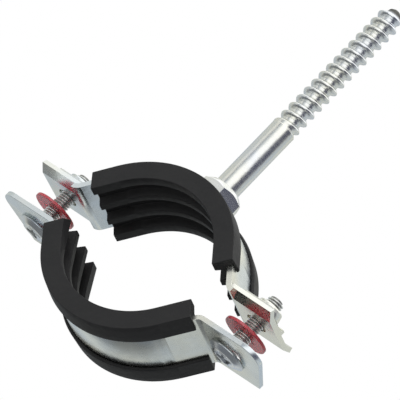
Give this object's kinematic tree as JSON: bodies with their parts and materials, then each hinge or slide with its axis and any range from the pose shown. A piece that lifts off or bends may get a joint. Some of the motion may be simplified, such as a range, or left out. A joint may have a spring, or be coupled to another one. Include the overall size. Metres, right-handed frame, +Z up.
{
  "type": "rubber lined pipe clamp",
  "caption": "Two-screw steel pipe clamp with a ribbed rubber lining, carried on a hanger bolt with a wood thread.",
  "frame": {"origin": "on the pipe's axis as the upper half seats it, midway across the width of the lining", "axes": "+Y along the pipe, +X along the right ear, +Z up the hanger bolt"},
  "size_m": [0.0994, 0.0268, 0.132],
  "materials": {
    "zinc_sheet": "bright zinc plate on pressed strip",
    "zinc_hardware": "bright zinc plate on rolled and turned steel",
    "lining_rubber": "matt black extruded rubber",
    "red_plastic": "glossy red plastic disc"
  },
  "bodies": {
    "hanger_bolt_body": {"hanger_bolt": "zinc_hardware"},
    "upper_half": {"upper_band": "zinc_sheet", "upper_lining": "lining_rubber", "boss_nut": "zinc_hardware", "left_nut_plate": "zinc_sheet", "right_nut_plate": "zinc_sheet"},
    "lower_half": {"lower_band": "zinc_sheet", "lower_lining": "lining_rubber"},
    "left_screw_body": {"left_screw": "zinc_hardware", "left_retaining_washer": "red_plastic"},
    "right_screw_body": {"right_screw": "zinc_hardware", "right_retaining_washer": "red_plastic"}
  },
  "joints": [
    {"name": "upper_half_swivel", "type": "hinge", "parent": "hanger_bolt_body", "child": "upper_half", "pos_m": [0, 0, 0.032], "axis": [0, 0, 1], "continuous": true},
    {"name": "lower_half_draw", "type": "slide", "parent": "upper_half", "child": "lower_half", "axis": [0, 0, 1], "range_m": [-0.005, 0.0035]},
    {"name": "right_screw_turn", "type": "hinge", "parent": "lower_half", "child": "right_screw_body", "pos_m": [0.0378, 0, 0.003], "axis": [0, 0, 1], "range_deg": [-2250, 1575]},
    {"name": "left_screw_turn", "type": "hinge", "parent": "lower_half", "child": "left_screw_body", "pos_m": [-0.0378, 0, 0.003], "axis": [0, 0, 1], "range_deg": [-2250, 1575]}
  ],
  "couplings": [
    {"joint": "right_screw_turn", "follows": "lower_half_draw", "rad_per_m": 7854},
    {"joint": "left_screw_turn", "follows": "lower_half_draw", "rad_per_m": 7854}
  ]
}
